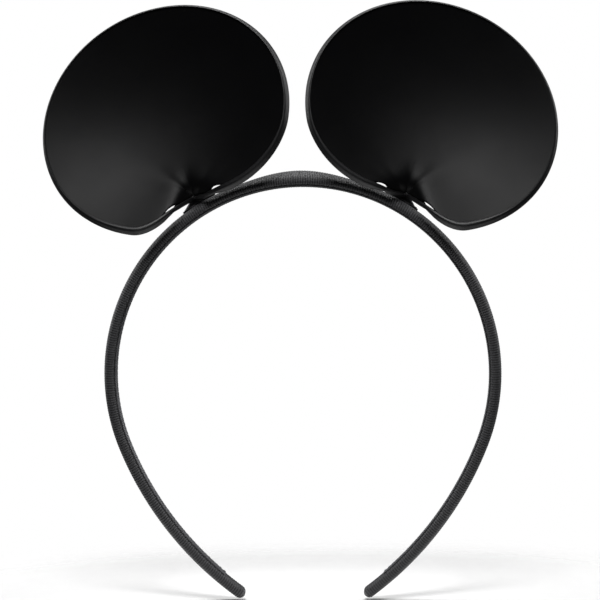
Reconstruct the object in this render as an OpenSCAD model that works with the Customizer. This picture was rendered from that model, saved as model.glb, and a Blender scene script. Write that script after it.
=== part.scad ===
// Round-ears headband: a ribbon-covered plastic arch with two padded, cupped fabric ears.
// Frame: +Z up, the ears' hollow side faces -Y, +X right. The origin is the centre of the
// crown curve, on the arch's mid-plane. Millimetres throughout.

/* [Arch curve] */
// Radius of the arch's inner face over the crown
crown_r = 65.6; // [60:0.2:72]
// Angle from the top to the end of the crown curve, each side
crown_angle = 112; // [104:1:118]
// Radius of the inner face of the flatter lower curve
lower_r = 116; // [104:1:130]
// Angle that each lower curve sweeps
lower_sweep = 33; // [26:1:36]
// Angle from the top to the line about which each arm flexes
flex_angle = 62; // [58:1:70]
// Gap in the stand-in joint at the flex line
flex_gap = 0.3; // [0.2:0.05:0.6]

/* [Arch section] */
// Width of the plastic core, front to back
core_w = 7.8; // [6:0.1:11]
// Thickness of the core at its middle
core_t = 2.7; // [2:0.1:3.4]
// Radius of the core's domed outer face, across its width
core_dome_r = 6; // [5.6:0.1:12]
// Thickness of the ribbed ribbon round the core
cover_t = 0.55; // [0.4:0.05:0.8]
// Gap between the ribbon's two long edges, under the lining
cover_gap = 1.2; // [0.8:0.1:2]
// Width of the lining ribbon on the inner face
lining_w = 6.4; // [5:0.1:7]
// Thickness of the lining ribbon
lining_t = 0.5; // [0.35:0.05:0.7]
// How far before each tip the lining ends
lining_setback = 10; // [6:0.5:16]
// Diameter of the thread along each edge of the lining
thread_d = 0.36; // [0.24:0.02:0.4]

/* [Ears] */
// Angle from the top to the middle of each ear's gathered base
ear_angle = 30.7; // [27:0.1:33]
// Half of an ear's width, along the arch
ear_half_w = 44.9; // [36:0.1:48]
// Half of an ear's height
ear_half_h = 39.3; // [32:0.1:47]
// Height of the ear's centre above the arch
ear_lift = 31; // [29:0.5:40]
// How far the ear's centre stands towards the top from its gathered base
ear_shift = 5.5; // [0:0.5:8]
// Height of the gathered base above the arch
base_lift = 2.4; // [2:0.1:4]
// Angle over which the gather pulls in the ear's outer lobe
outer_gather = 30; // [26:1:45]
// Angle over which the gather pulls in the ear's inner lobe
inner_gather = 68; // [50:1:80]
// Mean depth of the cupped face
cup_depth = 9.5; // [6:0.5:12]
// Extra depth at the lobes, taken off at the top
cup_bias = 2; // [0:0.5:8]
// How far the fold at the base stands back from the lobes
fold_depth = 8.5; // [6:0.5:10]
// Backward lean of the ear
ear_lean = 8; // [0:1:12]

/* [Ear layers] */
// Thickness of the foam pad
pad_t = 1.6; // [1.2:0.1:3]
// Thickness of the front and rear fabric panels
panel_t = 0.45; // [0.3:0.05:0.8]
// Thickness of the edge binding's fabric
binding_t = 0.3; // [0.2:0.05:0.5]
// How far the binding's lips reach in from the rim
binding_lip = 3; // [2.6:0.1:4]
// Diameter of the edge wire
wire_d = 1.1; // [0.8:0.1:1.2]
// Length of the sleeve that joins the wire's ends
ferrule_len = 8; // [6:0.5:12]
// Wall of the sleeve
ferrule_t = 0.25; // [0.15:0.05:0.3]
// Width of the two narrow openings beside the gather
slit_w = 0.7; // [0.4:0.1:1]
// Angle from the gather to the middle of each opening
slit_angle = 17; // [15:1:24]
// Half of the angle that each opening spans
slit_span = 6; // [4:0.5:8]

/* [Base fixing] */
// Length of the tab's foot along the arch
tab_len = 13; // [10:0.5:16]
// Width of the tab's foot, front to back
tab_w = 3.4; // [2.4:0.2:4.4]
// How far the foot stands back from the arch's mid-plane
tab_back = 0.8; // [0:0.1:1.5]
// Thickness of the tab's fabric
tab_t = 0.5; // [0.3:0.05:0.6]
// Number of tacking stitches on each half of the foot
tacks_per_half = 2; // [1:1:3]

/* [Hidden] */

black = [0.07, 0.07, 0.075];
soft_black = [0.13, 0.13, 0.14];
fit_gap = 0.03;             // slack between layers that lie face to face
edge_slack = 0.1;           // slack round the wire and the layers inside the binding
round_fn = 180;             // facets of the long curves
small_fn = 24;              // facets of threads and rounded tips
big = 400;                  // larger than the whole arch
tip_round = 0.56;           // radius of each rounded tip, as a share of its width
join_gap = 0.01;            // angle of the hairline between an arm's two curves
join_angle = 0.6;           // how far the section that joins them reaches into each
join_inset = 0.12;          // how much smaller that section is all round

// The arch's layers, as radii over the crown
sleeve_t = cover_t + fit_gap;
cover_r = crown_r + lining_t + fit_gap;
core_r = cover_r + sleeve_t;
outer_r = core_r + core_t + sleeve_t;
cover_w = core_w + 2 * sleeve_t;
curve_shift = lower_r - crown_r;
curve_centre = [-curve_shift * sin(crown_angle), -curve_shift * cos(crown_angle)];
half_gap = flex_gap / 2 / outer_r * 180 / PI;
tip_angle = crown_angle + lower_sweep;
lower_outer_r = outer_r + curve_shift;

// The ear's own frame: x along the arch and outward, z away from the arch, y as the whole
base_angle = atan2(ear_shift, base_lift - ear_lift);
base_depth = oval(base_angle) - norm([ear_shift, base_lift - ear_lift]);
layers_t = pad_t + 2 * panel_t + 2 * fit_gap;
binding_h = layers_t / 2 + edge_slack + binding_t;
sleeve_r = wire_d / 2 + edge_slack;
wire_inset = binding_t + edge_slack + sleeve_r + ferrule_t;
layer_inset = wire_inset + sleeve_r + ferrule_t + edge_slack;
ferrule_half = ferrule_len / 2 / ear_half_h * 180 / PI;
steps = 64;                 // points round an ear
rings = 7;                  // rings from an ear's centre to its edge
crowding = 0.6;             // how far the points crowd towards the gather
fold_angle = 11;            // half width of the fold at the base
fold_power = 6;             // how fast the fold fades away from the rim
slope_step = 0.05;          // step of the numerical slope
slit_slant = 0.9;           // slope of the cloth at the openings

// ---- the arch ----

// A flat section, x as radius and y as depth, swept from one angle to another from the top
module crown_sweep(from, to) {
    rotate([90, 0, 0]) rotate([0, 0, 90 - to])
        rotate_extrude(angle = to - from, $fn = round_fn) children();
}

// The same on the flatter lower curve of the right arm
module lower_sweep_to(to) {
    translate([curve_centre.x, 0, curve_centre.y])
        crown_sweep(crown_angle + join_gap, to) translate([curve_shift, 0]) children();
}

// The whole right arm: the rest of the crown curve, then the lower curve, less a setback
module arm_sweep(setback) {
    crown_sweep(flex_angle + half_gap, crown_angle) children();
    lower_sweep_to(tip_angle - setback / lower_outer_r * 180 / PI) children();
}

// A slightly smaller section across the change of curve joins the arm's two stretches
module arm_join() {
    crown_sweep(crown_angle - join_angle, crown_angle + join_angle) children();
}

// Domed section between two faces, with flat sides
module dome_section(inner, thickness, width, dome_r, inset) {
    intersection() {
        translate([inner + inset, inset - width / 2])
            square([thickness - 2 * inset, width - 2 * inset]);
        translate([inner + thickness - dome_r, 0]) circle(r = dome_r - inset, $fn = round_fn);
    }
}

module core_section(inset = 0) dome_section(core_r, core_t, core_w, core_dome_r, inset);

module cover_outline(inset = 0) {
    dome_section(cover_r, core_t + 2 * sleeve_t, cover_w, core_dome_r + sleeve_t, inset);
}

module cover_section(inset = 0) {
    difference() {
        cover_outline(inset);
        core_section(-fit_gap - inset);
        seam_slot(inset);
    }
}

module seam_slot(inset = 0) {
    translate([cover_r - cover_t, -cover_gap / 2 - inset])
        square([2 * sleeve_t, cover_gap + 2 * inset]);
}

module lining_section(inset = 0) {
    translate([crown_r + inset, inset - lining_w / 2])
        square([lining_t - 2 * inset, lining_w - 2 * inset]);
}

// One thread lies in the step at each edge of the lining
module thread_section(inset = 0) {
    for (side = [-1, 1])
        translate([cover_r - thread_d / 2 - fit_gap, side * (lining_w / 2 + thread_d / 2 + fit_gap)])
            circle(d = thread_d - 2 * inset, $fn = small_fn);
}

// Keeps what lies inside a tongue-shaped end for the given width, ending short of the tip
module tongue(width, short) {
    round_r = tip_round * width;
    back = (round_r + short) / lower_outer_r * 180 / PI;
    translate([curve_centre.x, 0, curve_centre.y]) rotate([0, tip_angle - back, 0]) {
        translate([-big, -big / 2, 0]) cube([big, big, big]);
        cylinder(r = round_r, h = big, $fn = round_fn);
    }
}

module arm_core_solid(grow = 0) {
    intersection() {
        arm_sweep(0) core_section(-grow);
        tongue(core_w + 2 * grow, sleeve_t - grow);
    }
}

module arm_cover_solid() {
    difference() {
        intersection() {
            arm_sweep(0) cover_outline();
            tongue(cover_w, 0);
        }
        arm_core_solid(fit_gap);
        arm_sweep(lining_setback + cover_w / 2) seam_slot();
    }
}

module crown_core() color(black) crown_sweep(-flex_angle + half_gap, flex_angle - half_gap)
    core_section();

module crown_cover() color(soft_black) crown_sweep(-flex_angle + half_gap, flex_angle - half_gap)
    cover_section();

module crown_lining() color(soft_black) crown_sweep(-flex_angle + half_gap, flex_angle - half_gap)
    lining_section();

module crown_seam_thread() color(black) crown_sweep(-flex_angle + half_gap, flex_angle - half_gap)
    thread_section();

module right_arm_core() color(black) {
    arm_core_solid();
    arm_join() core_section(join_inset);
}

module right_arm_cover() color(soft_black) {
    arm_cover_solid();
    arm_join() cover_section(join_inset);
}

module right_arm_lining() color(soft_black) {
    arm_sweep(lining_setback) lining_section();
    arm_join() lining_section(join_inset);
}

module right_arm_seam_thread() color(black) {
    arm_sweep(lining_setback) thread_section();
    arm_join() thread_section(join_inset);
}

module left_arm_core() mirror([1, 0, 0]) right_arm_core();
module left_arm_cover() mirror([1, 0, 0]) right_arm_cover();
module left_arm_lining() mirror([1, 0, 0]) right_arm_lining();
module left_arm_seam_thread() mirror([1, 0, 0]) right_arm_seam_thread();

// ---- the tab under each ear ----

// A curved strip on the arch's crest, y from -width/2 to width/2
module crest_strip(from, to, low, high, width) {
    crown_sweep(from, to) translate([low, -width / 2]) square([high - low, width]);
}

tab_half = tab_len / 2 / outer_r * 180 / PI;
foot_r = outer_r + fit_gap;
flap_half = tab_half * 0.55;
flap_clear = 1.7;           // how far the flap stays below the gathered base, which tilts
flap_top = outer_r + base_lift - flap_clear;
tack_d = 0.4;
tack_reach = tab_w - 1.2;

module base_tab() translate([0, tab_back, 0]) {
    crest_strip(ear_angle - tab_half, ear_angle + tab_half, foot_r, foot_r + tab_t, tab_w);
    crest_strip(ear_angle - flap_half, ear_angle + flap_half, foot_r, flap_top, tab_t);
}

// Tacking stitches lie across the foot, beyond the flap on either side
module tack_stitches() {
    for (side = [-1, 1], i = [0 : tacks_per_half - 1]) {
        place = ear_angle + side * (flap_half + (i + 0.6) * (tab_half - flap_half) / tacks_per_half);
        rotate([0, place, 0])
            translate([0, tab_back - tack_reach / 2, foot_r + tab_t + tack_d / 2 + fit_gap])
            rotate([-90, 0, 0]) cylinder(d = tack_d, h = tack_reach, $fn = small_fn);
    }
}

module right_base_tab() color(soft_black) base_tab();
module left_base_tab() mirror([1, 0, 0]) right_base_tab();
module right_tack_stitches() color(black) tack_stitches();
module left_tack_stitches() mirror([1, 0, 0]) right_tack_stitches();

// ---- the ears ----

// Radius of the plain oval at an angle from straight up, positive outward
function oval(a) = 1 / norm([sin(a) / ear_half_w, cos(a) / ear_half_h]);

// Angle from the gather, between -180 and 180
function from_base(a) = (a - base_angle + 900) % 360 - 180;

// How far the gather draws the rim in
function gather(d) = let(x = min(1, abs(d) / (d < 0 ? outer_gather : inner_gather)))
    base_depth * pow(1 - (d < 0 ? x * x : x), 1.5);

function rim(a) = oval(a) - gather(from_base(a));

// Forward and back place of the ear's middle layer at a point seen from the ear's centre
function cup(x, z) = let(u = x / ear_half_w, v = z / ear_half_h, q = u * u + v * v)
    (z + ear_lift - base_lift) * tan(ear_lean) - cup_depth * q + cup_bias * v * q
    + fold(x, z) + base_back;

function fold(x, z) = let(a = atan2(x, z), d = from_base(a), r = norm([x, z]) / rim(a))
    fold_depth * pow(min(1, r), fold_power) * exp(-pow(d / fold_angle, 2));

// Puts the middle layer over the arch's crest at the gather
base_u = ear_shift / ear_half_w;
base_v = (base_lift - ear_lift) / ear_half_h;
base_q = base_u * base_u + base_v * base_v;
base_back = cup_depth * base_q - cup_bias * base_v * base_q - fold_depth;

// A point at an angle and radius from the ear's centre, raised towards the front
function layer_point(a, r, raise) = let(
        x = r * sin(a), z = r * cos(a), y = cup(x, z),
        slope_x = (cup(x + slope_step, z) - cup(x - slope_step, z)) / 2 / slope_step,
        slope_z = (cup(x, z + slope_step) - cup(x, z - slope_step)) / 2 / slope_step,
        n = [slope_x, -1, slope_z])
    [x - ear_shift, y, z + ear_lift] + raise * n / norm(n);

// Angles round the ear, crowded towards the gather
function step_angle(i) = base_angle
    + 360 * (i / steps - crowding * sin(360 * i / steps) / 360 * 180 / PI);

function bump(x) = abs(x) < 1 ? pow(cos(90 * x), 1.5) : 0;

// How far in from the rim a layer's face ends: inside the binding, and clear of it at the
// openings, which are cut level through the slanting cloth
function layer_edge(a, raise) = let(d = abs(from_base(a)) - slit_angle,
        clear = binding_lip + slit_w + slit_slant * (binding_h - raise))
    layer_inset + (clear - layer_inset) * bump(d / slit_span);

// A closed sheet between two heights over the whole ear
module layer(low, high) {
    count = steps * rings + 1;
    points = [for (raise = [low, high]) each concat(
        [layer_point(0, 0, raise)],
        [for (j = [1 : rings], i = [0 : steps - 1]) let(a = step_angle(i))
            layer_point(a, (rim(a) - layer_edge(a, raise)) * j / rings, raise)])];
    function at(side, j, i) = side * count + 1 + (j - 1) * steps + i % steps;
    function two(a, b, c, d, turn) = turn ? [[a, b, c], [a, c, d]] : [[c, b, a], [d, c, a]];
    faces = concat(
        [for (s = [0, 1], i = [0 : steps - 1])
            s == 1 ? [at(s, 1, i), at(s, 1, i + 1), count] : [0, at(s, 1, i + 1), at(s, 1, i)]],
        [for (s = [0, 1], j = [1 : rings - 1], i = [0 : steps - 1]) each
            two(at(s, j, i), at(s, j + 1, i), at(s, j + 1, i + 1), at(s, j, i + 1), s == 1)],
        [for (i = [0 : steps - 1]) each
            two(at(0, rings, i), at(0, rings, i + 1), at(1, rings, i + 1), at(1, rings, i), true)]);
    polyhedron(points, faces, convexity = 6);
}

// A closed loop round the rim whose section is a list of [inset, raise] pairs
module rim_loop(section) {
    n = len(section);
    points = [for (i = [0 : steps - 1], p = section) let(a = step_angle(i))
        layer_point(a, rim(a) - p.x, p.y)];
    faces = [for (i = [0 : steps - 1], k = [0 : n - 1]) each let(
            a = i * n + k, b = i * n + (k + 1) % n,
            c = (i + 1) % steps * n + (k + 1) % n, d = (i + 1) % steps * n + k)
        [[c, b, a], [d, c, a]]];
    polyhedron(points, faces, convexity = 8);
}

function wire_section(r) = [for (k = [0 : 7])
    [wire_inset + r * cos(45 * k), -r * sin(45 * k)]];

module edge_binding() {
    h = binding_h;
    t = binding_t;
    rim_loop([[0, -h], [0, h], [binding_lip, h], [binding_lip, h - t],
              [t, h - t], [t, t - h], [binding_lip, t - h], [binding_lip, -h]]);
}

// A sleeve round the wire at the top of the ear, from one angle to another
module sleeve(from, to, inner, outer, sections) {
    ring = concat(wire_section(outer), wire_section(inner));
    points = [for (i = [0 : sections], p = ring) let(a = from + (to - from) * i / sections)
        layer_point(a, rim(a) - p.x, p.y)];
    function at(i, k, side) = i * 16 + side * 8 + k % 8;
    function two(a, b, c, d) = [[c, b, a], [d, c, a]];
    faces = concat(
        [for (i = [0 : sections - 1], k = [0 : 7]) each
            two(at(i, k, 0), at(i, k + 1, 0), at(i + 1, k + 1, 0), at(i + 1, k, 0))],
        [for (i = [0 : sections - 1], k = [0 : 7]) each
            two(at(i, k, 1), at(i + 1, k, 1), at(i + 1, k + 1, 1), at(i, k + 1, 1))],
        [for (k = [0 : 7]) each two(at(0, k, 0), at(0, k, 1), at(0, k + 1, 1), at(0, k + 1, 0))],
        [for (k = [0 : 7]) each two(at(sections, k, 0), at(sections, k + 1, 0),
            at(sections, k + 1, 1), at(sections, k, 1))]);
    polyhedron(points, faces, convexity = 4);
}

gather_thread_d = 0.45;
gather_turns = 2;
gather_r = binding_h + 0.55;

// Two turns of thread round the gathered base
module gather_stitches() {
    for (i = [0 : gather_turns - 1])
        translate([0, 0, base_lift + binding_lip + 0.4 + i * 1.3 * gather_thread_d])
            rotate_extrude($fn = 2 * small_fn) translate([gather_r, 0])
                circle(d = gather_thread_d, $fn = small_fn);
}

// Stands an ear piece on the right of the arch
module on_arch() rotate([0, ear_angle, 0]) translate([0, 0, outer_r]) children();

pad_face = pad_t / 2;
panel_inner = pad_face + fit_gap;
panel_outer = panel_inner + panel_t;

module right_front_panel() color(black) on_arch() layer(panel_inner, panel_outer);
module right_pad() color("dimgray") on_arch() layer(-pad_face, pad_face);
module right_rear_panel() color(black) on_arch() layer(-panel_outer, -panel_inner);
module right_edge_binding() color(soft_black) on_arch() edge_binding();
module right_edge_wire() color("silver") on_arch() rim_loop(wire_section(wire_d / 2));
module right_wire_ferrule() color("gray") on_arch()
    sleeve(-ferrule_half, ferrule_half, sleeve_r, sleeve_r + ferrule_t, 4);
module right_gather_stitches() color(black) on_arch() gather_stitches();

module left_front_panel() mirror([1, 0, 0]) right_front_panel();
module left_pad() mirror([1, 0, 0]) right_pad();
module left_rear_panel() mirror([1, 0, 0]) right_rear_panel();
module left_edge_binding() mirror([1, 0, 0]) right_edge_binding();
module left_edge_wire() mirror([1, 0, 0]) right_edge_wire();
module left_wire_ferrule() mirror([1, 0, 0]) right_wire_ferrule();
module left_gather_stitches() mirror([1, 0, 0]) right_gather_stitches();

crown_core();
crown_cover();
crown_lining();
crown_seam_thread();
left_arm_core();
left_arm_cover();
left_arm_lining();
left_arm_seam_thread();
right_arm_core();
right_arm_cover();
right_arm_lining();
right_arm_seam_thread();
left_base_tab();
right_base_tab();
left_tack_stitches();
right_tack_stitches();
left_front_panel();
left_pad();
left_rear_panel();
left_edge_binding();
left_edge_wire();
left_wire_ferrule();
left_gather_stitches();
right_front_panel();
right_pad();
right_rear_panel();
right_edge_binding();
right_edge_wire();
right_wire_ferrule();
right_gather_stitches();
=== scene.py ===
"""Round-ears headband: a ribbon-covered plastic arch with two cupped, padded satin ears.
Metres throughout, in the frame of the CAD: +Z up, the ears' hollow side faces -Y, +X right.
"""

import math

import bmesh
import bpy
import numpy as np
from mathutils import Matrix, Vector


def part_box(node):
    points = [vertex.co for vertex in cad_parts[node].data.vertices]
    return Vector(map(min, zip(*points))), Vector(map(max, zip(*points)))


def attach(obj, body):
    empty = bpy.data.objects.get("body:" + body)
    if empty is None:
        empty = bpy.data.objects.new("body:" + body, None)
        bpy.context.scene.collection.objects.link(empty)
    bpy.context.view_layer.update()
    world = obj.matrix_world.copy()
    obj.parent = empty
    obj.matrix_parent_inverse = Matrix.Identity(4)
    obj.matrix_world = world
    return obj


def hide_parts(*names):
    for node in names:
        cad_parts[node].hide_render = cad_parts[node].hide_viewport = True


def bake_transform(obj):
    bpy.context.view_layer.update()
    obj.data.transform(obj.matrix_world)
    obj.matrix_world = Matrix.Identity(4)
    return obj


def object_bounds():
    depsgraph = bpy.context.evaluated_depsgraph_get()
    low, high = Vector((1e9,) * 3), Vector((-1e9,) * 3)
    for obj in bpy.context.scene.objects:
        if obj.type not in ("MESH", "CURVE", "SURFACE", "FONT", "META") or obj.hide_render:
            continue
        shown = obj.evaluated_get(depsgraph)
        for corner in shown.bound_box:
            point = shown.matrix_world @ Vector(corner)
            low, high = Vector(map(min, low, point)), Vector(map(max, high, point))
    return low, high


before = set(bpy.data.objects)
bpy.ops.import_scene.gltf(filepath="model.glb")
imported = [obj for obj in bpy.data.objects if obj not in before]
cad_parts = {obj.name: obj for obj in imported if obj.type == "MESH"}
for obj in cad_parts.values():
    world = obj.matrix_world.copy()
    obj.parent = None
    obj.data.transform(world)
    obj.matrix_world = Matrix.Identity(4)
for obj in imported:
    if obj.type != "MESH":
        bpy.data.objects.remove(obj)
cad_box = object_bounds()
MM = 0.001

# ---- Arch core ----
# A strip of black polypropylene, moulded in one springy arch: round over the crown, with two
# flatter arms. The ribbon hides all of it.

crown_angle = math.radians(112)
crown_r = 65.6 * MM
lower_r = 116 * MM
tip_angle = math.radians(145)
arch_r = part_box("crown_cover")[1].z
arch_half_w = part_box("crown_cover")[1].y
core_half_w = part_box("crown_core")[1].y
core_t = 2.7 * MM
wrap_t = 0.58 * MM
core_round = 2.3
core_step = 1.5 * MM
curve_shift = lower_r - crown_r
crown_len = arch_r * crown_angle
arm_len = crown_len + (arch_r + curve_shift) * (tip_angle - crown_angle)
SIDES = {"left": -1, "right": 1}


def linear(colour):
    """An sRGB hex colour as linear RGBA."""
    parts = [int(colour[i : i + 2], 16) / 255 for i in (1, 3, 5)]
    return [c / 12.92 if c <= 0.04045 else ((c + 0.055) / 1.055) ** 2.4 for c in parts] + [1]


def new_material(name):
    """An empty node material, and its tree."""
    made = bpy.data.materials.new(name)
    made.use_nodes = True
    made.node_tree.nodes.clear()
    return made, made.node_tree


def add(tree, kind, inputs=None, **settings):
    """A shader node with its settings, and its sockets set or linked."""
    made = tree.nodes.new("ShaderNode" + kind)
    for name, value in settings.items():
        setattr(made, name, value)
    for socket, value in (inputs or {}).items():
        if isinstance(value, bpy.types.NodeSocket):
            tree.links.new(value, made.inputs[socket])
        else:
            made.inputs[socket].default_value = value
    return made


def finish_material(tree, surface):
    """Links a shader to the material's output."""
    add(tree, "OutputMaterial", {"Surface": surface.outputs[0]})


def on_arch(along, radius, depth):
    """The point of the right half at a distance along the arch's outer face from the top."""
    low = along > crown_len
    turn = np.where(low, crown_angle + (along - crown_len) / (arch_r + curve_shift),
                    along / arch_r)
    reach = radius + np.where(low, curve_shift, 0)
    x = reach * np.sin(turn) - np.where(low, curve_shift * math.sin(crown_angle), 0)
    z = reach * np.cos(turn) - np.where(low, curve_shift * math.cos(crown_angle), 0)
    return np.stack(np.broadcast_arrays(x, depth, z), -1)


def skin(name, rings, lay, material, tube=True, loop=False):
    """A mesh through rings of points, closed round each ring and, if it isn't a loop, capped.
    lay is each point's place on the cloth: along it, across it, and how high its thread lies."""
    count, points = rings.shape[:2]
    index = np.arange(count * points).reshape(count, points)
    caps = [] if loop or not tube else [index[0].tolist(), index[-1][::-1].tolist()]
    if tube:
        index = np.hstack([index, index[:, :1]])
    if loop:
        index = np.vstack([index, index[:1]])
    corners = [index[:-1, :-1], index[:-1, 1:], index[1:, 1:], index[1:, :-1]]
    mesh = bpy.data.meshes.new(name)
    faces = np.stack(corners, -1).reshape(-1, 4).tolist() + caps
    mesh.from_pydata(rings.reshape(-1, 3).tolist(), [], faces)
    lay = np.broadcast_to(lay, (count, points, 3)).reshape(-1).astype(np.float32)
    mesh.attributes.new("lay", "FLOAT_VECTOR", "POINT").data.foreach_set("vector", lay)
    work = bmesh.new()
    work.from_mesh(mesh)
    bmesh.ops.recalc_face_normals(work, faces=work.faces)
    work.to_mesh(mesh)
    work.free()
    mesh.polygons.foreach_set("use_smooth", [True] * len(mesh.polygons))
    mesh.materials.append(material)
    piece = bpy.data.objects.new(name, mesh)
    bpy.context.scene.collection.objects.link(piece)
    return piece


def mirrored(rings, side):
    """The right half's points, or the left half's."""
    return rings * np.array([side, 1, 1])


def rounded_section(half_w, low, high, top_round, foot_round, points):
    """(radius, depth) round a strip: domed over its outer face, flatter on its inner one.
    The first point is the middle of the inner face."""
    t = np.linspace(0, 2 * math.pi, 1201)
    c, s = -np.cos(t), -np.sin(t)
    power = np.where(c > 0, 2 / top_round, 2 / foot_round)
    middle = low + 0.36 * (high - low)
    tall = np.where(c > 0, high - middle, middle - low)
    radius = middle + tall * np.sign(c) * np.abs(c) ** power
    depth = half_w * np.sign(s) * np.abs(s) ** power
    walk = np.concatenate([[0], np.cumsum(np.hypot(np.diff(radius), np.diff(depth)))])
    at = np.linspace(0, walk[-1], points + 1)[:-1]
    return np.interp(at, walk, radius), np.interp(at, walk, depth), at


def tip_shape(along, end, half_w, bevel):
    """How much the width and the thickness shrink towards a rounded tip."""
    corner = 1.12 * half_w
    into = np.clip(along - (end - corner), 0, corner * 0.999)
    width = np.minimum(1, np.sqrt(corner**2 - into**2) / half_w)
    near = np.clip((along - (end - bevel)) / bevel, 0, 0.985)
    return width, np.sqrt(1 - near**2)


def ring_stack(along, section_r, section_y, middle_r, width, height, lift=0):
    """The section at each place along the arch, shrunk towards its middle at the tip."""
    radius = middle_r + (section_r - middle_r) * height[:, None] + lift
    return on_arch(along[:, None], radius, section_y * width[:, None])


def follow_arm(piece):
    """Bakes a piece of the arch's placement into its mesh."""
    start, end = (on_arch(arch_r * math.radians(a), arch_r, 0.0) for a in (46, 84))
    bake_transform(piece)


# Moulded polypropylene: a satin black with a faint spark-eroded grain from the mould.
moulded_polypropylene, tree = new_material("moulded_polypropylene")
grain = add(tree, "TexNoise", {"Scale": 1 / (0.35 * MM), "Detail": 4.0, "Roughness": 0.6})
shade = add(tree, "MixRGB", {"Fac": grain.outputs["Fac"], "Color1": linear("#0e0e10"),
                             "Color2": linear("#19191b")})
bump = add(tree, "Bump", {"Height": grain.outputs["Fac"], "Distance": 0.02 * MM,
                          "Strength": 0.5})
plastic = add(tree, "BsdfPrincipled", {"Base Color": shade.outputs[0], "Roughness": 0.42,
                                       "IOR": 1.49, "Normal": bump.outputs[0]})
finish_material(tree, plastic)

for name, side in SIDES.items():
    end = arm_len - wrap_t
    along = np.linspace(0, end, int(end / core_step))
    low_r = crown_r + 1.11 * MM
    section_r, section_y, around = rounded_section(
        core_half_w - 0.15 * MM, low_r, arch_r - wrap_t - 0.12 * MM, core_round, 4.0, 24)
    width, height = tip_shape(along, end, core_half_w, 1.2 * MM)
    rings = ring_stack(along, section_r, section_y, low_r + core_t / 2, width, height)
    lay = np.stack(np.broadcast_arrays(along[:, None], around, 0), -1)
    core = skin(name + "_arch_core", mirrored(rings, side), lay, moulded_polypropylene)
    follow_arm(core)
    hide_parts("crown_core", name + "_arm_core")

# ---- Cover ribbon ----
# Black grosgrain, wrapped lengthwise round the core so that its edges meet on the
# inner face, and closed over each tip. Its weft cords stand up as ribs across the band.

rib_pitch = 0.88 * MM
rib_rise = 0.3 * MM
rib_slant = 0.22
rib_steps = 6
crown_fullness = 1.5 * MM
edge_gap = 0.5 * MM
ribbon_t = 0.5 * MM
tip_bevel = 2.0 * MM
cover_points = 34
back_points = 12


def rib(place):
    """Height of a row of round cords, from 0 between two cords to 1 on one."""
    across = 2 * (place % 1) - 1
    return np.sqrt(np.maximum(0, 1 - across**2)) ** 0.8


def rib_places(end):
    """Places along the arch, evenly through each rib, with the top at a rib's middle."""
    count = int(round(end / rib_pitch * rib_steps))
    return np.arange(count + 1) * rib_pitch / rib_steps


def fullness(along):
    """How far the ribbon stands off the core's crest: most between the ears, and not at all
    under their tabs."""
    between = np.clip(1 - along / (26 * MM), 0, 1)
    return crown_fullness * between * between * (3 - 2 * between)


def ribbon_material(name, valley_shade, crest, warp_pitch, roughness, sheen):
    """Woven polyester ribbon under fine warp threads: painted highlight on cord crests, painted
    shade between.
    """
    made, tree = new_material(name)
    lay = add(tree, "Attribute", attribute_name="lay")
    parts = add(tree, "SeparateXYZ", {"Vector": lay.outputs["Vector"]})
    turn = add(tree, "Math", {0: parts.outputs["Y"], 1: 2 * math.pi / warp_pitch},
               operation="MULTIPLY")
    warp = add(tree, "Math", {0: turn.outputs[0]}, operation="SINE")
    fibre = add(tree, "TexNoise", {"Vector": lay.outputs["Vector"], "Scale": 1 / (0.6 * MM),
                                   "Detail": 3.0})
    worn = add(tree, "TexNoise", {"Vector": lay.outputs["Vector"], "Scale": 1 / (9 * MM),
                                  "Detail": 2.0})
    # The cord's height sets the colour: its top gets the crest colour as a painted highlight, the
    # gaps between cords the valley colour as painted shade.
    high = add(tree, "MapRange", {"Value": parts.outputs["Z"], "From Min": 0.72,
                                  "From Max": 0.98}, interpolation_type="SMOOTHSTEP")
    shade = add(tree, "MixRGB", {"Fac": high.outputs[0], "Color1": linear(valley_shade),
                                 "Color2": linear(crest)})
    fade = add(tree, "MapRange", {"Value": worn.outputs["Fac"], "To Min": 0.8, "To Max": 1.25})
    toned = add(tree, "VectorMath", {0: shade.outputs[0], "Scale": fade.outputs[0]},
                operation="SCALE")
    height = add(tree, "Math", {0: warp.outputs[0], 1: 0.6, 2: fibre.outputs["Fac"]},
                 operation="MULTIPLY_ADD")
    bump = add(tree, "Bump", {"Height": height.outputs[0], "Distance": 0.03 * MM,
                              "Strength": 0.7})
    rough = add(tree, "MapRange", {"Value": fibre.outputs["Fac"], "To Min": roughness - 0.08,
                                   "To Max": roughness + 0.1})
    cloth = add(tree, "BsdfPrincipled", {
        "Base Color": toned.outputs[0], "Roughness": rough.outputs[0], "IOR": 1.5,
        "Specular IOR Level": 0.45, "Sheen Weight": sheen, "Sheen Roughness": 0.35,
        "Sheen Tint": linear("#c9cacd"), "Normal": bump.outputs[0]})
    finish_material(tree, cloth)
    return made


# Grosgrain: the near-black between the ribs is painted shade, and the silvery grey on each cord's
# crest is a painted highlight. Warp threads are 0.2 mm apart.
woven_grosgrain = ribbon_material("woven_grosgrain", "#010101", "#3a3a3d", 0.2 * MM, 0.5, 0.3)

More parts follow.
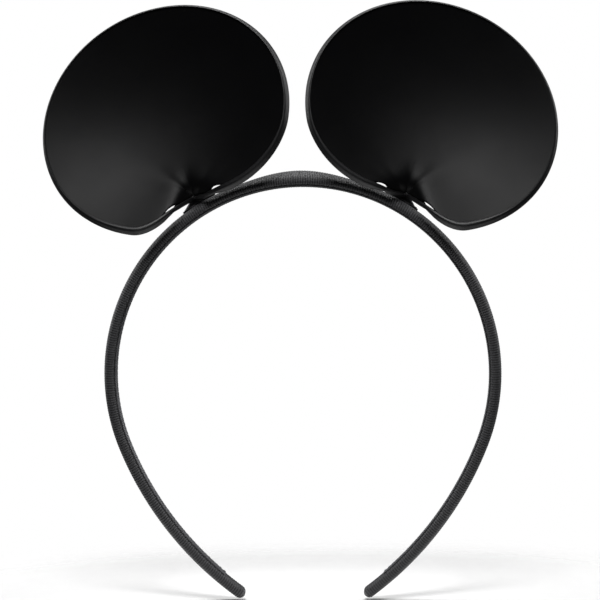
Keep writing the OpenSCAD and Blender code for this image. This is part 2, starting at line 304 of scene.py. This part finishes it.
cover_low = crown_r + 0.53 * MM
cover_middle = cover_low + (arch_r - cover_low) / 2
for name, side in SIDES.items():
    along = rib_places(arm_len)
    width, height = tip_shape(along, arm_len, arch_half_w, tip_bevel)
    outer_r, outer_y, around = rounded_section(
        arch_half_w - 0.5 * rib_rise, cover_low, arch_r - 0.5 * rib_rise, core_round, 4.0,
        cover_points)
    cord = rib((along[:, None] + rib_slant * outer_y) / rib_pitch + 0.5)
    swell = 1 + rib_rise * (cord - 0.5) / (0.5 * (arch_r - cover_low)) * height[:, None]
    radius = cover_middle + (outer_r - cover_middle) * height[:, None] * swell
    crest = np.clip((outer_r - cover_middle) / (arch_r - cover_middle), 0, 1)
    crest = crest * (1 - (outer_y / arch_half_w) ** 2)
    radius = radius + fullness(along)[:, None] * crest * height[:, None]
    depth = outer_y * width[:, None] * (1 + rib_rise * (cord - 0.5) / arch_half_w)
    outside = on_arch(along[:, None], radius, depth)
    outside = np.roll(outside, -1, axis=1)[:, :-1]
    inner_r, inner_y, _ = rounded_section(
        arch_half_w - ribbon_t, cover_low + ribbon_t, arch_r - ribbon_t, core_round, 4.0,
        back_points)
    back = ring_stack(along, inner_r[1:][::-1], inner_y[1:][::-1], cover_middle, width * 0.98,
                      height)
    open_at = np.clip((arm_len - 3 * MM - along) / (3 * MM), 0.12, 1)
    lips = []
    for lip_side, lip_r in ((1, cover_low), (1, cover_low + ribbon_t),
                            (-1, cover_low + ribbon_t), (-1, cover_low)):
        lip_radius = cover_middle + (lip_r - cover_middle) * height
        lips.append(on_arch(along, lip_radius, lip_side * edge_gap / 2 * open_at * width))
    first = np.sign(outer_y[1])
    lips = lips if first < 0 else lips[::-1]
    rings = np.concatenate([outside, lips[0][:, None], lips[1][:, None], back,
                            lips[2][:, None], lips[3][:, None]], axis=1)
    lay = np.zeros(rings.shape)
    lay[..., 0] = along[:, None]
    lay[:, : cover_points - 1, 1] = around[1:]
    # The cord heights, from which the ribbon material paints highlights on the crests and shade
    # between them.
    lay[:, : cover_points - 1, 2] = cord[:, 1:]
    cover = skin(name + "_cover_ribbon", mirrored(rings, side), lay, woven_grosgrain)
    follow_arm(cover)
    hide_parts("crown_cover", name + "_arm_cover")

# ---- Lining ribbon ----
# A narrower grosgrain ribbon on the inner face, over the cover's meeting edges. It ends 10 mm
# before each tip, with its end turned under.

lining_half_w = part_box("crown_lining")[1].y
lining_t = 0.5 * MM
lining_setback = 10 * MM
lining_points = 18
# Painted like the cover: the crest colour is a painted highlight on the cords, and the near-black
# is painted shade between them.
woven_lining = ribbon_material("woven_lining", "#0b0b0c", "#48484c", 0.2 * MM, 0.48, 0.35)

for name, side in SIDES.items():
    end = arm_len - lining_setback
    along = rib_places(end)
    section_r, section_y, around = rounded_section(
        lining_half_w, crown_r + 0.5 * rib_rise, crown_r + lining_t, 5.0, 5.0, lining_points)
    cord = rib((along[:, None] - rib_slant * section_y) / rib_pitch + 0.5)
    thin = np.clip((end - along) / (5 * MM), 0.1, 1)[:, None] ** 0.5
    section = crown_r + lining_t - (crown_r + lining_t - section_r) * thin
    inner_side = section_r < crown_r + 0.3 * MM
    section = section - inner_side * rib_rise * 0.6 * (cord - 0.5) * thin
    rings = on_arch(along[:, None], section, section_y + 0 * cord)
    # The cord heights go on as the mask for the painted crest highlight and the painted valley
    # shade.
    lay = np.stack(np.broadcast_arrays(along[:, None], around, cord), -1)
    lining = skin(name + "_lining_ribbon", mirrored(rings, side), lay, woven_lining)
    follow_arm(lining)
    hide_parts("crown_lining", name + "_arm_lining")

# ---- Seam stitches ----
# Black polyester thread joins lining and cover along both edges, in stitches 1.3 mm long that
# dip into the cloth at each end.

stitch_pitch = 1.9 * MM
stitch_len = 1.3 * MM
thread_r = 0.19 * MM
seam_y = lining_half_w + 0.16 * MM
seam_r = crown_r + 0.42 * MM


def strand(line, radius, sides=8):
    """Rings of points round a line, with round ends."""
    line = np.asarray(line, float)
    along = np.gradient(line, axis=0)
    along /= np.linalg.norm(along, axis=1)[:, None]
    flat = np.cross(along, [0.31, 0.83, 0.47])
    flat /= np.linalg.norm(flat, axis=1)[:, None]
    up = np.cross(along, flat)
    t = np.linspace(0, 2 * math.pi, sides + 1)[:-1]
    round_off = np.ones(len(line))
    round_off[[0, -1]] = 0.45
    spread = radius * round_off[:, None, None]
    return line[:, None] + spread * (np.cos(t)[:, None] * flat[:, None]
                                     + np.sin(t)[:, None] * up[:, None])


def strands(name, lines, radius, material):
    """One piece of many short threads, all with the same number of points."""
    made = []
    for line in lines:
        rings = strand(line, radius)
        count, sides = rings.shape[:2]
        far = np.linspace(0, np.linalg.norm(np.diff(line, axis=0), axis=1).sum(), count)
        around = np.linspace(0, 2 * math.pi * radius, sides)
        lay = np.stack(np.broadcast_arrays(far[:, None], around, 0.5), -1)
        made.append(skin(name + "_part", rings, lay, material))
    piece = made[0]
    piece.name = name
    with bpy.context.temp_override(active_object=piece, selected_editable_objects=made):
        bpy.ops.object.join()
    piece.data.name = name
    return piece


# Spun polyester thread: two plies twisted every 0.9 mm, with a slight shine along each ply. Each
# ply's crest is painted lighter as a highlight, and the grooves darker as painted shade.
twisted_polyester_thread, tree = new_material("twisted_polyester_thread")
lay = add(tree, "Attribute", attribute_name="lay")
parts = add(tree, "SeparateXYZ", {"Vector": lay.outputs["Vector"]})
twist = add(tree, "Math", {0: parts.outputs["X"], 1: 2 * math.pi / (0.9 * MM)},
            operation="MULTIPLY")
lead = add(tree, "Math", {0: parts.outputs["Y"], 1: 2 / thread_r, 2: twist.outputs[0]},
           operation="MULTIPLY_ADD")
ply = add(tree, "Math", {0: lead.outputs[0]}, operation="SINE")
high = add(tree, "MapRange", {"Value": ply.outputs[0], "From Min": -1.0})
# Painted light: lighter on each ply's crest as a painted highlight, darker in the grooves as
# painted shade, in step with the bump.
shade = add(tree, "MixRGB", {"Fac": high.outputs[0], "Color1": linear("#040405"),
                             "Color2": linear("#161618")})
bump = add(tree, "Bump", {"Height": high.outputs[0], "Distance": 0.05 * MM, "Strength": 0.8})
thread = add(tree, "BsdfPrincipled", {"Base Color": shade.outputs[0], "Roughness": 0.5,
                                      "Specular IOR Level": 0.4, "Sheen Weight": 0.15,
                                      "Normal": bump.outputs[0]})
finish_material(tree, thread)

for name, side in SIDES.items():
    starts = np.arange(0.35 * stitch_pitch, arm_len - lining_setback - stitch_len, stitch_pitch)
    reach = np.linspace(0, 1, 6)
    dip = 0.3 * MM * (2 * reach - 1) ** 4
    lines = []
    for edge in (-1, 1):
        for start in starts:
            at = start + reach * stitch_len
            drift = edge * (seam_y + 0.1 * MM * (0.5 - reach))
            lines.append(mirrored(on_arch(at, seam_r - 0.1 * MM + dip, drift), side))
    seam = strands(name + "_seam_stitches", lines, thread_r, twisted_polyester_thread)
    follow_arm(seam)
    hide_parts("crown_seam_thread", name + "_arm_seam_thread")

# ---- Ear panels ----
# Two panels of black satin over a thin foam pad, held out by a wire round the rim and drawn
# together at the base, so that the ear cups forward and folds run up from the gather.

ear_angle = math.radians(30.7)
ear_half_w = 44.9 * MM
ear_half_h = 39.3 * MM
ear_lift = 31 * MM
ear_shift = 5.5 * MM
base_lift = 2.4 * MM
outer_gather = math.radians(36)
outer_sweep = 2.2
inner_gather = math.radians(68)
inner_sweep = 1.5
cup_depth = 9.5 * MM
cup_bias = 2 * MM
fold_depth = 8.5 * MM
fold_angle = math.radians(11)
fold_power = 10
ear_lean = math.radians(8)
base_angle = math.atan2(ear_shift, base_lift - ear_lift)
base_run = math.hypot(ear_shift, base_lift - ear_lift)
around_steps = 240
crowding = 0.6


def oval(a):
    """Radius of the plain oval at an angle from straight up, positive outward."""
    return 1 / np.hypot(np.sin(a) / ear_half_w, np.cos(a) / ear_half_h)


base_depth = oval(base_angle) - base_run


def from_base(a):
    """Angle from the gather, between minus and plus half a turn."""
    return (a - base_angle + 3 * math.pi) % (2 * math.pi) - math.pi


def rim(a):
    """The rim's radius, drawn in at the gather."""
    d = from_base(a)
    x = np.minimum(1, np.abs(d) / np.where(d < 0, outer_gather, inner_gather))
    drawn = np.where(d < 0, (1 - x * x) ** outer_sweep, (1 - x) ** inner_sweep)
    return oval(a) - base_depth * drawn


# Folds that run up from the gather: angle from the ear's own upright, half width, depth, and
# how far up each is deepest. Positive angles lean outward.
FOLDS = (
    (-68, 12, 0.4, 3.4),
    (24, 10, 0.4, 3.6),
    (37, 6, -0.05, 6.5),
    (-86, 9, 0.25, 6.0),
    (-20, 9, 0.12, 3.0),
)


def folds(x, z):
    """How far the folds at the gather set the cloth back."""
    dx, dz = x - ear_shift, z + ear_lift - base_lift
    far = np.hypot(dx, dz) / MM
    lean = np.degrees(np.arctan2(dx, dz))
    back = 0
    for angle, half, depth, peak in FOLDS:
        off = (lean - angle + 180) % 360 - 180
        back = back + depth * np.exp(-((off / half) ** 2)) * far / peak * np.exp(1 - far / peak)
    return back * MM


def cup(x, z):
    """How far back the ear's middle layer stands at a place seen from the ear's centre."""
    u, v = x / ear_half_w, z / ear_half_h
    q = u * u + v * v
    a = np.arctan2(x, z)
    run = np.minimum(1, np.hypot(x, z) / rim(a)) ** fold_power
    fold = fold_depth * run * np.exp(-((from_base(a) / fold_angle) ** 2))
    base_v = (base_lift - ear_lift) / ear_half_h
    base_q = (ear_shift / ear_half_w) ** 2 + base_v**2
    base_back = cup_depth * base_q - cup_bias * base_v * base_q - fold_depth
    leant = (z + ear_lift - base_lift) * math.tan(ear_lean)
    return leant - cup_depth * q + cup_bias * v * q + fold + base_back + folds(x, z)


def on_ear(a, r, height):
    """A point of the right ear at an angle and radius from its centre, raised to the front."""
    step = 0.05 * MM
    x, z = r * np.sin(a), r * np.cos(a)
    slope_x = (cup(x + step, z) - cup(x - step, z)) / (2 * step)
    slope_z = (cup(x, z + step) - cup(x, z - step)) / (2 * step)
    n = np.stack(np.broadcast_arrays(slope_x, -1.0, slope_z), -1)
    n /= np.linalg.norm(n, axis=-1)[..., None]
    local = np.stack([x - ear_shift, cup(x, z), z + ear_lift], -1)
    local = local + np.asarray(height)[..., None] * n
    c, s = math.cos(ear_angle), math.sin(ear_angle)
    up = local[..., 2] + arch_r
    return np.stack([local[..., 0] * c + (local[..., 2]) * s + arch_r * s,
                     local[..., 1], -local[..., 0] * s + up * c], -1)


def rim_angles(count):
    """Angles round the ear, crowded towards the gather."""
    i = np.arange(count)
    return base_angle + 2 * math.pi * (i / count) - crowding * np.sin(2 * math.pi * i / count)


lip_at_gather = 1.5 * MM
lip_at_top = 0.5 * MM
lip_narrows = math.radians(28)
lip_narrowing = math.radians(50)
slit_w = 0.8 * MM
slit_angle = math.radians(17)
slit_span = math.radians(6.5)
slit_slant = 0.55
slit_ends = 1.2
pad_half = 0.8 * MM
panel_t = 0.45 * MM
panel_high = pad_half + panel_t + 0.03 * MM
tuck = 0.3 * MM
crown_rise = 0.8 * MM
top_rise = 0.15
lobe_angle = math.radians(50)
lobe_span = math.radians(34)
roll = 11 * MM
panel_rings = 44


def lip(a):
    """How far the binding reaches in over the panel: widest at the gather."""
    share = np.clip((np.abs(from_base(a)) - lip_narrows) / lip_narrowing, 0, 1)
    return lip_at_gather + (lip_at_top - lip_at_gather) * share * share * (3 - 2 * share)


def layer_edge(a, height, least):
    """How far in from the rim a face ends: under the binding's lip, or beyond least, and clear
    at the two openings, which are cut level through the slanting cloth."""
    near = np.clip((np.abs(from_base(a)) - slit_angle) / slit_span, -1, 1)
    plain = np.maximum(lip(a) - tuck, least)
    clear = lip(a) + slit_w + slit_slant * (panel_high - height)
    return plain + (clear - plain) * np.cos(near * math.pi / 2) ** slit_ends


def layer(low, high, low_rise, high_rise, least=0):
    """Rings over one face of a layer from its middle to its edge, then back over the other.
    Each face rolls down to the rim by its own rise, most at the two lobes, as the foam fills
    the ear."""
    a = rim_angles(around_steps)
    share = np.linspace(0.008, 1, panel_rings) ** 0.9
    faces, lays = [], []
    for height, full in ((low, low_rise), (high, high_rise)):
        r = share[:, None] * (rim(a) - layer_edge(a, height, least))
        rise = np.clip((rim(a) - lip(a) - r) / roll, 0, 1)
        off = (np.abs(from_base(a)) - lobe_angle) / lobe_span
        lobe = top_rise + (1 - top_rise) * np.exp(-(off**2))
        lobe = top_rise + (lobe - top_rise) * (r / rim(a)) ** 2
        faces.append(on_ear(a[None], r, height - full * lobe * (1 - rise) ** 2))
        lays.append(np.stack(np.broadcast_arrays(r * np.sin(a), r * np.cos(a), 0.5), -1))
    return np.concatenate([faces[0], faces[1][::-1]]), np.concatenate([lays[0], lays[1][::-1]])


def satin_material(name, dark, light, roughness, gloss):
    """Polyester satin: long floats on the face give a soft broad shine and hide the weave."""
    made, tree = new_material(name)
    lay = add(tree, "Attribute", attribute_name="lay")
    parts = add(tree, "SeparateXYZ", {"Vector": lay.outputs["Vector"]})
    warp = add(tree, "Math", {0: parts.outputs["X"], 1: 2 * math.pi / (0.24 * MM)},
               operation="MULTIPLY")
    ends = add(tree, "Math", {0: warp.outputs[0]}, operation="SINE")
    weft = add(tree, "Math", {0: parts.outputs["Y"], 1: 2 * math.pi / (0.4 * MM)},
               operation="MULTIPLY")
    picks = add(tree, "Math", {0: weft.outputs[0]}, operation="SINE")
    fibre = add(tree, "TexNoise", {"Vector": lay.outputs["Vector"], "Scale": 1 / (0.5 * MM),
                                   "Detail": 3.0, "Roughness": 0.65})
    cloud = add(tree, "TexNoise", {"Vector": lay.outputs["Vector"], "Scale": 1 / (14 * MM),
                                   "Detail": 2.0})
    shade = add(tree, "MixRGB", {"Fac": fibre.outputs["Fac"], "Color1": linear(dark),
                                 "Color2": linear(light)})
    weave = add(tree, "Math", {0: ends.outputs[0], 1: 0.5, 2: picks.outputs[0]},
                operation="MULTIPLY_ADD")
    height = add(tree, "Math", {0: fibre.outputs["Fac"], 1: 2.2, 2: weave.outputs[0]},
                 operation="MULTIPLY_ADD")
    bump = add(tree, "Bump", {"Height": height.outputs[0], "Distance": 0.012 * MM,
                              "Strength": 0.6})
    rough = add(tree, "MapRange", {"Value": cloud.outputs["Fac"], "To Min": roughness - 0.04,
                                   "To Max": roughness + 0.05})
    cloth = add(tree, "BsdfPrincipled", {
        "Base Color": shade.outputs[0], "Roughness": rough.outputs[0], "IOR": 1.5,
        "Specular IOR Level": gloss, "Sheen Weight": 0.03, "Sheen Roughness": 0.5,
        "Normal": bump.outputs[0]})
    finish_material(tree, cloth)
    return made


# Black satin: nearly no colour of its own, so only its broad shine shows. The thread spacing
# of 0.24 mm is coarser than a real satin's, so that the weave shows close up.
woven_satin = satin_material("woven_satin", "#020203", "#050506", 0.4, 0.13)

for name, side in SIDES.items():
    for face, turn in (("front", 1), ("rear", -1)):
        rings, lay = layer(turn * (panel_high - panel_t), turn * panel_high,
                           turn * crown_rise, turn * crown_rise)
        panel = skin(f"{name}_{face}_satin", mirrored(rings, side), lay, woven_satin)
        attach(panel, name + "_ear")
        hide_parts(f"{name}_{face}_panel")

# ---- Foam pads ----
# A sheet of soft dark polyurethane foam, 1.6 mm thick, cut to the ear's outline and laid
# between the two panels. It shows only as an edge, in the openings beside the gather.

# Open-cell polyurethane foam: matt, dark grey, with pores 0.5 mm across whose pits carry
# painted shade.
cut_foam, tree = new_material("cut_polyurethane_foam")
place = add(tree, "TexCoord")
pores = add(tree, "TexVoronoi", {"Vector": place.outputs["Object"], "Scale": 1 / (0.5 * MM)})
deep = add(tree, "MapRange", {"Value": pores.outputs["Distance"], "From Max": 0.6})
# The pits of the pores get the darker colour: painted shade.
shade = add(tree, "MixRGB", {"Fac": deep.outputs[0], "Color1": linear("#0c0c0d"),
                             "Color2": linear("#2b2b2d")})
bump = add(tree, "Bump", {"Height": deep.outputs[0], "Distance": 0.15 * MM, "Strength": 0.8})
foam = add(tree, "BsdfPrincipled", {"Base Color": shade.outputs[0], "Roughness": 0.9,
                                    "Normal": bump.outputs[0]})
finish_material(tree, foam)

pad_inset = 1.95 * MM
for name, side in SIDES.items():
    rings, lay = layer(-pad_half, pad_half, -crown_rise, crown_rise, pad_inset)
    pad = skin(name + "_foam_pad", mirrored(rings, side), lay, cut_foam)
    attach(pad, name + "_ear")
    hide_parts(name + "_pad")

# ---- Edge binding ----
# A satin tape folded over the rim and stitched down, so that it stands up as a flat-sided bead
# with a hard crease along its front edge. It holds the edge wire.

binding_high = 1.62 * MM
binding_t = 0.3 * MM
binding_steps = 420


def tape_section(reach):
    """(in from the rim, raised to the front) round the folded tape, for one reach of its lips."""
    h, t = binding_high, binding_t
    face = [(reach, h - 0.04 * MM), (reach - 0.1 * MM, h + 0.08 * MM),
            (0.72 * reach, h + 0.03 * MM), (0.45 * reach, h - 0.04 * MM),
            (0.2 * reach, h - 0.2 * MM), (0.05 * MM, h - 0.5 * MM), (0, h - 0.95 * MM), (0, 0)]
    back = [(reach - 0.02 * MM, h - t), (0.6 * reach + 0.12 * MM, h - t - 0.04 * MM),
            (0.4 * MM, h - 0.65 * MM), (t, h - 1.0 * MM), (t, 0)]
    face, back = np.array(face), np.array(back)
    return np.concatenate([face, face[:-1][::-1] * [1, -1], back[:-1] * [1, -1], back[::-1]])


satin_tape = satin_material("satin_tape", "#08080a", "#101012", 0.42, 0.4)
for name, side in SIDES.items():
    a = rim_angles(binding_steps)
    tape = np.stack([tape_section(reach) for reach in lip(a)])
    rings = on_ear(a[:, None], rim(a)[:, None] - tape[..., 0], tape[..., 1])
    run = np.concatenate([[0], np.cumsum(np.linalg.norm(np.diff(rings[:, 7], axis=0), axis=1))])
    across = np.arange(tape.shape[1]) * 0.3 * MM
    lay = np.stack(np.broadcast_arrays(run[:, None], across, 0.5), -1)
    binding = skin(name + "_rim_binding", mirrored(rings, side), lay, satin_tape, loop=True)
    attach(binding, name + "_ear")
    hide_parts(name + "_edge_binding")

# ---- Edge wire and its sleeve ----
# A spring-steel wire 1.1 mm thick runs inside the binding and holds the rim open. Its two ends
# meet at the top of the ear in a crimped sleeve.

wire_r = 0.55 * MM
sleeve_half = 4 * MM
sleeve_wall = 0.25 * MM


def wire_inset(a):
    """How far in from the rim the wire runs: close at the gather, further in at the top."""
    return 0.9 * MM + 0.3 * MM * np.abs(from_base(a)) / math.pi


def rim_tube(a, radius, sides=10):
    """Rings round the wire's line, at the given angles."""
    t = np.linspace(0, 2 * math.pi, sides + 1)[:-1]
    r = (rim(a) - wire_inset(a))[:, None] + radius * np.cos(t)
    return on_ear(a[:, None] + 0 * t, r, radius * np.sin(t) + 0 * r)


def metal(name, colour, roughness, scratch):
    """Bare metal with fine marks along it from drawing or crimping."""
    made, tree = new_material(name)
    place = add(tree, "TexCoord")
    marks = add(tree, "TexNoise", {"Vector": place.outputs["Object"], "Scale": 1 / scratch,
                                   "Detail": 4.0})
    rough = add(tree, "MapRange", {"Value": marks.outputs["Fac"], "To Min": roughness - 0.1,
                                   "To Max": roughness + 0.12})
    bump = add(tree, "Bump", {"Height": marks.outputs["Fac"], "Distance": 0.01 * MM,
                              "Strength": 0.4})
    steel = add(tree, "BsdfPrincipled", {"Base Color": linear(colour), "Metallic": 1.0,
                                         "Roughness": rough.outputs[0],
                                         "Normal": bump.outputs[0]})
    finish_material(tree, steel)
    return made


# Drawn spring steel is grey and fairly bright; the plated sleeve is duller.
drawn_steel = metal("drawn_spring_steel", "#8f8f92", 0.35, 0.3 * MM)
plated_sleeve = metal("crimped_plated_steel", "#77777a", 0.45, 0.6 * MM)

for name, side in SIDES.items():
    wire = skin(name + "_rim_wire", mirrored(rim_tube(rim_angles(220), wire_r), side), 0,
                drawn_steel, loop=True)
    top = np.linspace(-1, 1, 25) * sleeve_half / ear_half_h
    crimp = 1 - 0.12 * np.exp(-(((np.abs(np.linspace(-1, 1, 25)) - 0.5) / 0.12) ** 2))
    outer = rim_tube(top, (wire_r + sleeve_wall) * crimp[:, None])
    inner = rim_tube(top, (wire_r + 0.02 * MM) * np.ones((25, 1)))[::-1]
    sleeve = skin(name + "_wire_sleeve", mirrored(np.concatenate([outer, inner]), side), 0,
                  plated_sleeve, loop=True)
    for piece, node, slot in ((wire, "edge_wire", "spring_wire"),
                              (sleeve, "wire_ferrule", "ferrule_metal")):
        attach(piece, name + "_ear")
        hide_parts(f"{name}_{node}")

# ---- Gather stitches ----
# Three turns of thread draw the base of each ear together and cross over at the front.

gather_r = 2.15 * MM
gather_high = base_lift + 3.6 * MM
for name, side in SIDES.items():
    turn = np.linspace(0, 6 * math.pi, 109)
    spread = 1 + 0.06 * np.sin(3.2 * turn)
    x, y = gather_r * spread * np.sin(turn), -gather_r * spread * np.cos(turn)
    z = gather_high + 0.55 * MM * np.sin(turn / 2 + 0.4) + 0.22 * MM * np.cos(1.5 * turn)
    c, s = math.cos(ear_angle), math.sin(ear_angle)
    line = np.stack([x * c + (z + arch_r) * s, y, -x * s + (z + arch_r) * c], -1)
    gather = strands(name + "_gather_thread", [mirrored(line, side)], 0.2 * MM,
                     twisted_polyester_thread)
    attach(gather, name + "_ear")
    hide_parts(name + "_gather_stitches")

# ---- Base tabs ----
# A strip of grey twill tacked down along the arch's crest. Its middle rises as a flap that
# narrows into the ear's gathered base.

tab_len = 13 * MM
tab_half_w = 1.7 * MM
tab_back = 0.8 * MM
tab_t = 0.5 * MM
flap_half = 4.6 * MM
flap_tip_half = 1.2 * MM
flap_top = base_lift + 1.2 * MM
foot_r = arch_r + 0.04 * MM


def at_ear(along, up, depth):
    """A point on the right crest: along the arch from the ear's middle, up from it, and back."""
    turn = ear_angle + along / arch_r
    return np.stack(np.broadcast_arrays(up * np.sin(turn), depth, up * np.cos(turn)), -1)


# Cotton twill: a dull mid grey, lighter than the satin, with diagonal ribs 0.5 mm apart, their
# crests painted lighter as a highlight and the grooves between painted darker as shade.
cotton_twill, tree = new_material("cotton_twill")
lay = add(tree, "Attribute", attribute_name="lay")
parts = add(tree, "SeparateXYZ", {"Vector": lay.outputs["Vector"]})
slant = add(tree, "Math", {0: parts.outputs["X"], 1: parts.outputs["Y"]}, operation="ADD")
wales = add(tree, "Math", {0: slant.outputs[0], 1: 2 * math.pi / (0.5 * MM)},
            operation="MULTIPLY")
wale = add(tree, "Math", {0: wales.outputs[0]}, operation="SINE")
high = add(tree, "MapRange", {"Value": wale.outputs[0], "From Min": -1.0})
# Painted light: the ribs' crests take the lighter grey as a painted highlight and the grooves the
# darker grey as painted shade, in step with the bump.
shade = add(tree, "MixRGB", {"Fac": high.outputs[0], "Color1": linear("#3a3a3c"),
                             "Color2": linear("#6a6a6d")})
bump = add(tree, "Bump", {"Height": high.outputs[0], "Distance": 0.06 * MM, "Strength": 0.7})
twill = add(tree, "BsdfPrincipled", {"Base Color": shade.outputs[0], "Roughness": 0.8,
                                     "Sheen Weight": 0.2, "Normal": bump.outputs[0]})
finish_material(tree, twill)

for name, side in SIDES.items():
    across = np.linspace(-1, 1, 33)
    rows = []
    for depth in (-tab_half_w, -0.5 * tab_half_w, -0.5 * tab_t):
        rows.append(at_ear(across * tab_len / 2, foot_r + tab_t, tab_back + depth))
    for share in np.linspace(0.15, 1, 10):
        half = flap_half + (flap_tip_half - flap_half) * share**0.8
        ripple = 0.25 * MM * np.sin(across * 7) * share * (1 - share) * 4
        rows.append(at_ear(across * half, foot_r + tab_t + share * (flap_top - tab_t),
                           tab_back * (1 - share) - 0.5 * tab_t + ripple))
    for share in np.linspace(1, 0.15, 10):
        half = flap_half + (flap_tip_half - flap_half) * share**0.8
        ripple = 0.25 * MM * np.sin(across * 7) * share * (1 - share) * 4
        rows.append(at_ear(across * half, foot_r + tab_t + share * (flap_top - tab_t),
                           tab_back * (1 - share) + 0.5 * tab_t + ripple))
    for depth in (0.5 * tab_t, 0.5 * tab_half_w, tab_half_w):
        rows.append(at_ear(across * tab_len / 2, foot_r + tab_t, tab_back + depth))
    for depth in (tab_half_w, 0, -tab_half_w):
        rows.append(at_ear(across * tab_len / 2, foot_r + 0.05 * MM, tab_back + depth))
    rings = np.stack(rows, 1)
    far = np.linspace(0, 12 * MM, rings.shape[1])
    lay = np.stack(np.broadcast_arrays(across[:, None] * tab_len / 2, far, 0.5), -1)
    tab = skin(name + "_twill_tab", mirrored(rings, side), lay, cotton_twill)
    low, high_end = at_ear(0, foot_r + tab_t, 0), at_ear(0, foot_r + flap_top, 0)
    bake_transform(tab)
    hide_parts(name + "_base_tab")

# ---- Tack stitches ----
# Two short stitches on each half of the tab's foot hold it to the cover ribbon.

for name, side in SIDES.items():
    lines = []
    for place in (-5.6, -4.9, 4.9, 5.6):
        reach = np.linspace(-1, 1, 9)
        up = foot_r + tab_t + 0.16 * MM - 0.5 * MM * reach**6
        lines.append(mirrored(at_ear(place * MM + 0.25 * MM * reach, up,
                                     tab_back + reach * (tab_half_w + 0.15 * MM)), side))
    tack = strands(name + "_tack_thread", lines, 0.2 * MM, twisted_polyester_thread)
    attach(tack, "crown")
    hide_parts(name + "_tack_stitches")

# ---- Studio ----
# A pale paper floor under the tips, a white surround, a large soft light above and in front,
# and weaker ones behind it, above and at both sides, that pick out the arch's edges.

floor_r = 0.5
floor_z = cad_box[0][2]
fade_from, fade_to = 0.07, 0.22

# Smooth matt paper: nearly white, with the faintest mottle. It thins out to clear away from
# the tips, so that it runs into the white surround with no edge.
paper, tree = new_material("matt_white_paper")
fibre = add(tree, "TexNoise", {"Scale": 1 / (3 * MM), "Detail": 3.0})
shade = add(tree, "MixRGB", {"Fac": fibre.outputs["Fac"], "Color1": linear("#f2f2f2"),
                             "Color2": linear("#f6f6f6")})
sheet = add(tree, "BsdfPrincipled", {"Base Color": shade.outputs[0], "Roughness": 0.9,
                                     "Specular IOR Level": 0.1})
place = add(tree, "TexCoord")
out = add(tree, "VectorMath", {0: place.outputs["Object"]}, operation="LENGTH")
fade = add(tree, "MapRange", {"Value": out.outputs["Value"], "From Min": fade_from,
                              "From Max": fade_to}, interpolation_type="SMOOTHSTEP")
clear = add(tree, "BsdfTransparent")
faded = add(tree, "MixShader", {"Fac": fade.outputs[0], 1: sheet.outputs[0],
                                2: clear.outputs[0]})
add(tree, "OutputMaterial", {"Surface": faded.outputs[0]})
turn = np.linspace(0, 2 * math.pi, 97)[:-1]
ring = np.stack([np.cos(turn), np.sin(turn), 0 * turn], -1)
floor_rings = ((1, 1.5), (1, 0.2), (0.995, 0.05), (0.7, 0.05), (0.02, 0.05))
rings = np.stack([ring * floor_r * share + [0, 0, floor_z - down * MM]
                  for share, down in floor_rings])
floor = skin("paper_floor", rings, 0, paper)

world = bpy.data.worlds.new("white_surround")
bpy.context.scene.world = world
world.use_nodes = True
tree = world.node_tree
tree.nodes.clear()
seen = add(tree, "LightPath")
bright = add(tree, "MixRGB", {"Fac": seen.outputs["Is Camera Ray"],
                              "Color1": linear("#2c2c2c"), "Color2": [1, 1, 1, 1]})
add(tree, "OutputWorld",
    {"Surface": add(tree, "Background", {"Color": bright.outputs[0]}).outputs[0]})


def soft_light(name, place, aim, size, power, deep=None):
    """A rectangular soft light that faces a point."""
    data = bpy.data.lights.new(name, "AREA")
    data.shape, data.size, data.size_y, data.energy = "RECTANGLE", size, deep or size, power
    lamp = bpy.data.objects.new(name, data)
    lamp.location = place
    lamp.rotation_euler = (Vector(aim) - Vector(place)).to_track_quat("-Z", "Y").to_euler()
    bpy.context.scene.collection.objects.link(lamp)
    return lamp


ears_middle, arch_top, arch_middle = (0, 0, 0.075), (0, 0, 0.06), (0, 0, 0)
soft_light("key_softbox", (0, -0.5, 0.62), ears_middle, 0.3, 4.4)
soft_light("top_strip", (0, 0.16, 0.6), arch_top, 0.5, 2.5, 0.2)
for name, side in SIDES.items():
    soft_light(name + "_strip", (0.5 * side, 0.22, 0.34), arch_middle, 0.25, 1.4, 0.5)

# The camera stands level with the arch, 0.66 m in front and a little to the right.
azimuth, elevation, tilt = (math.radians(x) for x in (3, -1, 0.67))
distance = 0.655
aim = Vector((-0.0004, 0, 0.02565))
back = Vector((math.sin(azimuth) * math.cos(elevation),
               -math.cos(azimuth) * math.cos(elevation), math.sin(elevation)))
camera_data = bpy.data.cameras.new("camera")
camera_data.lens = 111.5
camera_data.sensor_width = 36
camera = bpy.data.objects.new("camera", camera_data)
turned = back.to_track_quat("Z", "Y").to_matrix().to_4x4() @ Matrix.Rotation(-tilt, 4, "Z")
camera.matrix_world = Matrix.Translation(aim + back * distance) @ turned
bpy.context.scene.collection.objects.link(camera)
bpy.context.scene.camera = camera
bpy.context.scene.view_settings.view_transform = "Standard"
